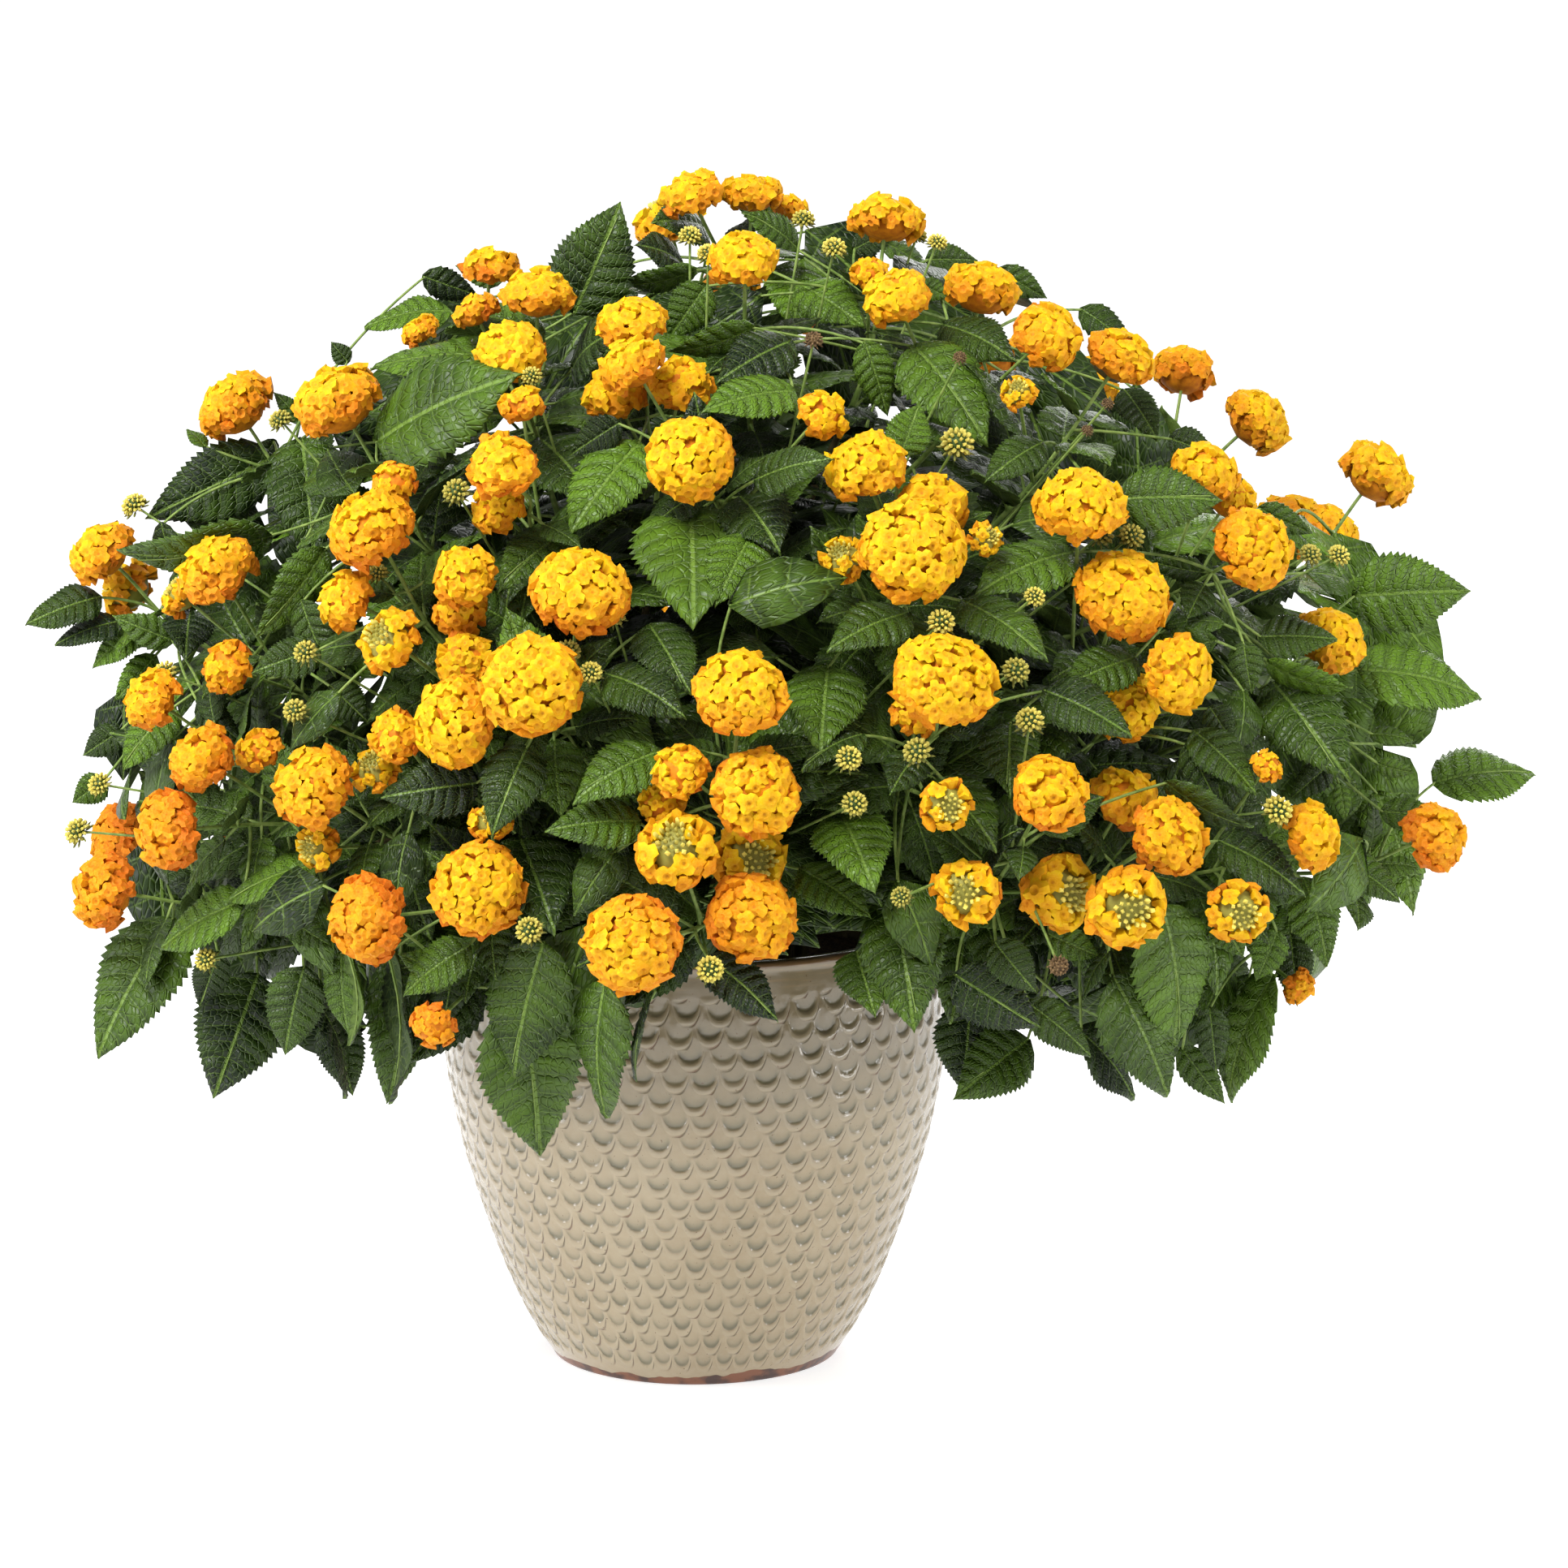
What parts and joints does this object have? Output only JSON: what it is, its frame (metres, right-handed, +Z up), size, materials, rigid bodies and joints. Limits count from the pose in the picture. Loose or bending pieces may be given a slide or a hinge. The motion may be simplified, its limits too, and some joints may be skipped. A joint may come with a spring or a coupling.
{
  "type": "potted lantana",
  "caption": "Bushy flowering lantana with domed yellow and orange flower heads over toothed leaves, growing in a round glazed stoneware pot with rows of thumb-pressed scoops.",
  "frame": {"origin": "centre of the flat foot of the pot, on the ground", "axes": "+Z up out of the pot; -Y towards the front of the plant; +X to the right seen from the front"},
  "size_m": [0.827, 0.6768, 0.6601],
  "materials": {
    "glaze": "gloss",
    "soil": "matte",
    "foliage": "satin",
    "petals": "matte"
  },
  "bodies": {
    "root": {"pot": "glaze", "soil": "soil", "leafy_stem_01": "foliage", "leafy_stem_02": "foliage", "leafy_stem_03": "foliage", "leafy_stem_04": "foliage", "leafy_stem_05": "foliage", "leafy_stem_06": "foliage", "leafy_stem_07": "foliage", "leafy_stem_08": "foliage", "leafy_stem_09": "foliage", "leafy_stem_10": "foliage", "leafy_stem_11": "foliage", "leafy_stem_12": "foliage", "bloom_01": "petals", "bloom_02": "petals", "bloom_03": "petals", "bloom_04": "petals", "bloom_05": "petals", "bloom_06": "petals", "bloom_07": "petals", "bloom_08": "petals", "bloom_09": "petals", "bloom_10": "petals", "bloom_11": "petals", "bloom_12": "petals", "bloom_13": "petals", "bloom_14": "petals", "bloom_15": "petals", "bloom_16": "petals", "bloom_17": "petals", "bloom_18": "petals", "bloom_19": "petals", "bloom_20": "petals", "bloom_21": "petals", "bloom_22": "petals", "bloom_23": "petals", "bloom_24": "petals", "bloom_25": "petals", "bloom_26": "petals", "bloom_27": "petals", "bloom_28": "petals", "bloom_29": "petals", "bloom_30": "petals", "bloom_31": "petals", "bloom_32": "petals", "bloom_33": "petals", "bloom_34": "petals", "bloom_35": "petals", "bloom_36": "petals", "bloom_37": "petals", "bloom_38": "petals", "bloom_39": "petals", "bloom_40": "petals", "bloom_41": "petals", "bloom_42": "petals", "bloom_43": "petals", "bloom_44": "petals", "bloom_45": "petals", "bloom_46": "petals"}
  },
  "joints": []
}
